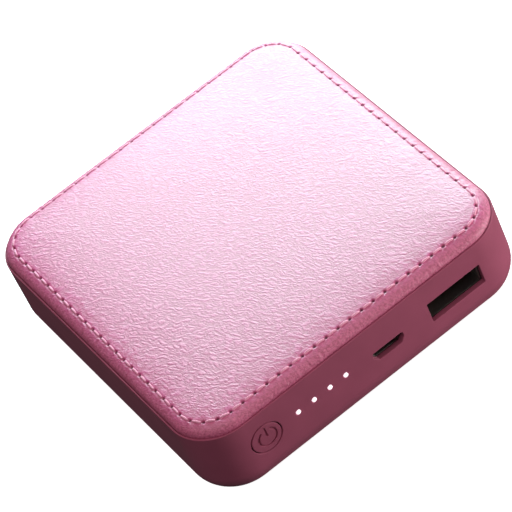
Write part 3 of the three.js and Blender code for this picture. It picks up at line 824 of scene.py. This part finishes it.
def metal(name, color, roughness, along=(1, 14, 14)):
    """Rolled or drawn metal with fine streaks."""
    look = Look(name, color, roughness, Metallic=1.0)
    streaks = look.noise(1.2, 4, look.scaled(look.mm, along))
    cloud = look.noise(0.4, 3)
    look.tint(cloud, shade(color, 0.85), shade(color, 1.1))
    look.roughen(streaks, roughness - 0.08, roughness + 0.1)
    look.bump(streaks, 0.006)
    return look


def drifted(look):
    """Coordinates that wander, so that the leather's wrinkles don't run straight."""
    moved = look.mm
    for scale, reach in ((0.03, 6.0), (0.5, 0.8)):
        drift = look.node("ShaderNodeTexNoise", {"Vector": look.mm, "Scale": scale, "Detail": 1.0})
        shift = look.node("ShaderNodeVectorMath", operation="MULTIPLY_ADD")
        look.feed(shift.inputs[0], drift.outputs["Color"])
        look.feed(shift.inputs[1], (reach, reach, 0.3))
        look.feed(shift.inputs[2], moved)
        moved = shift.outputs[0]
    return moved


def wrinkles(look):
    """Height of the leather's grain: broad and fine wrinkles that lie across the case, and fine dust."""
    grain = look.scaled(drifted(look), (1.9, 0.85, 1.0), math.radians(-55))
    broad = look.math("ABSOLUTE", look.math("SUBTRACT", look.noise(1.0, 2, grain), 0.5))
    fine = look.math("ABSOLUTE", look.math("SUBTRACT", look.noise(2.1, 2, grain), 0.5))
    height = look.math("ADD", look.spread(broad, 0, 0.2, 0, 0.7), look.spread(fine, 0, 0.2, 0, 0.4))
    return look.math("ADD", height, look.math("MULTIPLY", look.noise(3.0, 2), 0.25))


def leather_look():
    """Pearl-coated leather: pale on its wrinkles and darker in their valleys, partly painted shade, with a
    darker, duller band that is partly painted shade, and painted shade in the needle holes.
    """
    # The last colour here is near-black: painted shade for the inside of the needle holes.
    deep, pale, hole = (0.5, 0.056, 0.175), (0.65, 0.1, 0.3), (0.1, 0.012, 0.035)
    # The band's colours are darker and duller than the top's: painted shade on the band, which faces away
    # from the light.
    band_deep, band_pale = (0.43, 0.062, 0.15), (0.64, 0.13, 0.275)
    look = Look("pearl_leather", pale, 0.4, **{"IOR": 2.0, "Coat Weight": 0.2, "Coat Roughness": 0.5})
    height = wrinkles(look)
    # Low places in the grain take the deep colour and ridges the pale one: the grain's own tone, with
    # painted shade in its valleys.
    surface = look.tint(look.spread(height, 0.1, 0.8), deep, pale)
    z = look.node("ShaderNodeSeparateXYZ", {"Vector": look.mm}).outputs["Z"]
    # Below the stitch line the band's colours replace the top's: random tone, with painted shade that
    # darkens the band.
    band_tone_and_shade = look.tint(look.spread(look.noise(2.2, 3), 0.35, 0.65), band_deep, band_pale)
    surface = look.tint(look.spread(z, STITCH_Z - 0.7, STITCH_Z - 0.1), band_tone_and_shade, surface)
    # The needle-hole mask turns the leather near-black in the holes: painted shade where the holes are
    # deep.
    pressed = look.node("ShaderNodeAttribute", attribute_name="pressed").outputs["Fac"]
    look.tint(look.spread(pressed, 0.2, 0.8), surface, hole)
    dullness = look.spread(z, STITCH_Z - 1, STITCH_Z, 0.62, 0.4)
    dullness = look.math("ADD", dullness, look.spread(look.noise(1.2, 2), 0.3, 0.7, -0.03, 0.03))
    look.feed(look.shader.inputs["Roughness"], dullness)
    look.bump(height, 0.068)
    return look.material


def thread_look():
    """Polyester thread: fine filaments along the twist."""
    color = (0.9, 0.4, 0.56)
    look = Look("stitch_thread_pink", color, 0.6, **{"Specular IOR Level": 0.2})
    filaments = look.noise(9, 3, look.scaled(look.mm, (1, 1, 3)))
    look.tint(filaments, shade(color, 0.75), shade(color, 1.25))
    look.roughen(filaments, 0.5, 0.7)
    look.bump(filaments, 0.02)
    look.shader.inputs["Sheen Weight"].default_value = 0.3
    return look.material


def light_guide_look():
    """Clear plastic that glows where the pins reach the front."""
    look = Look("lit_clear_plastic", (0.9, 0.88, 0.9), 0.25, **{"Transmission Weight": 0.3})
    y = look.node("ShaderNodeSeparateXYZ", {"Vector": look.mm}).outputs["Y"]
    glow = look.spread(y, WALL_Y + 0.9, WALL_Y, 0.0, 0.88)
    haze = look.noise(2.5, 2)
    look.tint(haze, (0.82, 0.8, 0.82), (0.95, 0.93, 0.95))
    look.roughen(haze, 0.2, 0.35)
    look.shader.inputs["Emission Color"].default_value = (1.0, 0.86, 0.93, 1)
    look.feed(look.shader.inputs["Emission Strength"], glow)
    return look.material


def led_look():
    """A lit LED: pale phosphor in a white frame."""
    look = Look("led_phosphor", (0.9, 0.88, 0.8), 0.4)
    speck = look.noise(6, 2)
    look.tint(speck, (0.95, 0.9, 0.7), (0.98, 0.97, 0.92))
    look.shader.inputs["Emission Color"].default_value = (1.0, 0.92, 0.95, 1)
    look.shader.inputs["Emission Strength"].default_value = 3.0
    look.roughen(speck, 0.3, 0.5)
    return look.material


def board_look():
    """Solder mask over copper tracks."""
    look = Look("solder_mask", (0.012, 0.1, 0.036), 0.3)
    tracks = look.node("ShaderNodeTexBrick", {"Vector": look.mm, "Scale": 0.45}, offset=0.37)
    look.feed(tracks.inputs["Mortar Size"], 0.06)
    look.feed(tracks.inputs["Mortar Smooth"], 0.2)
    raised = tracks.outputs["Fac"]
    look.tint(raised, (0.01, 0.085, 0.03), (0.03, 0.17, 0.06))
    look.roughen(look.noise(3), 0.25, 0.35)
    look.bump(raised, 0.03)
    return look.material


def foil_look():
    """Aluminium laminate with slight puckers."""
    look = metal("laminate_foil", (0.48, 0.5, 0.53), 0.38, (1, 1, 1))
    puckers = look.noise(0.25, 4, distortion=0.8)
    look.bump(puckers, 0.25)
    return look.material


def foam_look():
    """Closed-cell foam: small open cells at its cut surface."""
    look = Look("foam_cells", (0.68, 0.66, 0.63), 0.85)
    pits = look.cells(2.2)
    look.tint(look.spread(pits, 0.1, 0.6), (0.74, 0.72, 0.69), (0.55, 0.53, 0.5))
    look.roughen(look.noise(4), 0.8, 0.95)
    look.bump(pits, 0.08, 0.7)
    return look.material


def speckled(name, color, roughness):
    """Sintered or moulded material with fine speckles."""
    scale = 5.0
    look = Look(name, color, roughness)
    specks = look.cells(scale)
    look.tint(look.spread(specks, 0.1, 0.6), shade(color, 1.25), shade(color, 0.75))
    look.roughen(look.noise(scale), roughness - 0.05, roughness + 0.1)
    look.bump(specks, 0.015)
    return look.material


def dress(names, material):
    """Gives CAD nodes that keep their shape a material."""
    for name in names:
        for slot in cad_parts[name].material_slots:
            slot.material = material


def numbered(stem, count):
    return [f"{stem}_{i + 1}" for i in range(count)]


def dress_inside():
    steel = metal("port_steel", (0.44, 0.42, 0.4), 0.42).material
    dress(["usb_a_shell", "micro_usb_shell", "switch_frame"], steel)
    black = moulded("port_plastic", (0.008, 0.008, 0.01), 0.5).material
    dress(["usb_a_insulator", "micro_usb_insulator"], black)
    gold = metal("contact_gold", (0.58, 0.35, 0.07), 0.25, (14, 1, 14)).material
    dress(numbered("usb_a_contact", 4) + numbered("micro_usb_contact", 5), gold)
    dress(["top_plate"], moulded("inner_plastic", (0.024, 0.017, 0.02), 0.5).material)
    dress(["cell_lower", "cell_upper"], foil_look())
    dress(["cell_tape"], moulded("amber_tape", (0.58, 0.45, 0.2), 0.3, 1.5, 0.02).material)
    tabs = [f"{row}_tab_{pole}" for row in ("lower", "upper") for pole in ("positive", "negative")]
    dress(tabs, metal("nickel_strip", (0.46, 0.44, 0.38), 0.35, (14, 1, 14)).material)
    dress(["lead_positive"], moulded("red_insulation", (0.43, 0.01, 0.01), 0.4, 4).material)
    dress(["lead_negative"], moulded("black_insulation", (0.01, 0.01, 0.01), 0.4, 4).material)
    dress(["circuit_board"], board_look())
    chips = ["switch_body", "switch_plunger", "charge_controller", "mosfet_1", "mosfet_2", "sense_resistor"]
    dress(chips, moulded("chip_plastic", (0.012, 0.012, 0.013), 0.55, 8).material)
    dress(["inductor"], speckled("ferrite", (0.045, 0.045, 0.048), 0.6))
    dress(["capacitor_1", "capacitor_2"], speckled("capacitor_ceramic", (0.39, 0.25, 0.12), 0.5))
    screw = metal("screw_steel", (0.28, 0.28, 0.29), 0.3).material
    dress(["board_screw_left", "board_screw_right"], screw)
    dress(numbered("led", 4), led_look())


# ---------- studio ----------

CAMERA_AZIMUTH = -16.16
CAMERA_ELEVATION = 45.23
CAMERA_ROLL = -25.95
CAMERA_DISTANCE = 0.7096
CAMERA_LENS = 240.4
CAMERA_SHIFT = (-0.0033, 0.0127)
TARGET = Vector((0, 0, 9.6 * MM))
FLOOR_GAP = 0.05


def direction(azimuth, elevation):
    """Towards an azimuth, 0 in front of the port wall and 90 at +X, and an elevation."""
    a, e = math.radians(azimuth), math.radians(elevation)
    return Vector((math.sin(a) * math.cos(e), -math.cos(a) * math.cos(e), math.sin(e)))


def make_camera():
    back = direction(CAMERA_AZIMUTH, CAMERA_ELEVATION)
    level = Vector((math.cos(math.radians(CAMERA_AZIMUTH)), math.sin(math.radians(CAMERA_AZIMUTH)), 0))
    upright = back.cross(level)
    roll = math.radians(CAMERA_ROLL)
    right = level * math.cos(roll) + upright * math.sin(roll)
    up = upright * math.cos(roll) - level * math.sin(roll)
    camera = add_object("camera", bpy.data.cameras.new("camera"))
    turn = Matrix((right, up, back)).transposed().to_4x4()
    camera.matrix_world = Matrix.Translation(TARGET + back * CAMERA_DISTANCE) @ turn
    camera.data.lens = CAMERA_LENS
    camera.data.sensor_width = 36
    camera.data.shift_x, camera.data.shift_y = CAMERA_SHIFT
    camera.data.clip_start, camera.data.clip_end = 0.01, 20
    bpy.context.scene.camera = camera


def add_panel(name, azimuth, elevation, distance, size, watts, color):
    """A soft rectangular light that faces the object. Distance and size are in metres."""
    data = bpy.data.lights.new(name, "AREA")
    data.shape = "RECTANGLE"
    data.size, data.size_y = size
    data.energy = watts
    data.color = color
    lamp = add_object(name, data)
    towards = direction(azimuth, elevation)
    lamp.location = TARGET + towards * distance
    lamp.rotation_mode = "QUATERNION"
    lamp.rotation_quaternion = towards.to_track_quat("Z", "Y")


def make_floor():
    """A plain near-white floor, just below the object, that is clear from below."""
    mesh = bpy.data.meshes.new("floor")
    bm = bmesh.new()
    bmesh.ops.create_grid(bm, x_segments=8, y_segments=8, size=3)
    bm.to_mesh(mesh)
    bm.free()
    floor = add_object("floor", mesh)
    floor.location.z = -FLOOR_GAP * MM
    look = Look("pale_floor", (0.85, 0.85, 0.85), 0.9)
    grain = look.noise(0.05, 2)
    look.tint(grain, (0.84, 0.84, 0.84), (0.86, 0.86, 0.86))
    look.shader.inputs["Emission Color"].default_value = (1, 1, 1, 1)
    look.shader.inputs["Emission Strength"].default_value = 0.93
    below = look.node("ShaderNodeNewGeometry").outputs["Backfacing"]
    clear = look.node("ShaderNodeBsdfTransparent").outputs[0]
    mix = look.node("ShaderNodeMixShader", {0: below, 1: look.shader.outputs[0], 2: clear})
    look.feed(look.tree.nodes["Material Output"].inputs["Surface"], mix.outputs[0])
    mesh.materials.append(look.material)
    floor.visible_diffuse = False
    floor.visible_glossy = False


def make_world():
    """White to the camera, and a dim even fill for everything else."""
    world = bpy.data.worlds.new("studio")
    bpy.context.scene.world = world
    world.use_nodes = True
    tree = world.node_tree
    fill = tree.nodes["Background"]
    fill.inputs["Color"].default_value = (0.85, 1.0, 0.95, 1)
    fill.inputs["Strength"].default_value = 0.08
    white = tree.nodes.new("ShaderNodeBackground")
    white.inputs["Strength"].default_value = 1.0
    path = tree.nodes.new("ShaderNodeLightPath")
    mix = tree.nodes.new("ShaderNodeMixShader")
    tree.links.new(path.outputs["Is Camera Ray"], mix.inputs[0])
    tree.links.new(fill.outputs[0], mix.inputs[1])
    tree.links.new(white.outputs[0], mix.inputs[2])
    tree.links.new(mix.outputs[0], tree.nodes["World Output"].inputs[0])


def make_studio():
    make_camera()
    make_floor()
    make_world()
    add_panel("upper_panel", -38, 69, 0.5, (0.7, 0.7), 1.88, (1.0, 0.75, 0.79))
    add_panel("back_panel", 148, 37, 0.22, (0.22, 0.12), 0.8, (0.68, 1.0, 0.96))
    add_panel("rim_panel", 138, 5, 0.35, (0.3, 0.1), 0.88, (0.78, 1.0, 0.97))
    add_panel("front_panel", 48, -1, 0.28, (0.1, 0.03), 0.73, (1.0, 0.96, 0.92))
    add_panel("side_panel", 88, 2, 0.3, (0.1, 0.04), 0.06, (1.0, 0.85, 1.0))
    bpy.context.scene.view_settings.view_transform = "Standard"


# ---------- object ----------

rose = (0.34, 0.084, 0.142)
tray_look = moulded("rose_plastic", rose, 0.5).material
button_look = moulded("rose_button_plastic", rose, 0.48).material
make_tray(tray_look)
make_button(button_look)
make_light_guide(light_guide_look())
make_cover(leather_look())
make_stitches(thread_look())
foam = foam_look()
make_pad("foam_sheet", "foam_pad", foam, 7.1)
make_pad("cell_cushion", "cell_pad", foam, 2.0)
dress_inside()
make_studio()
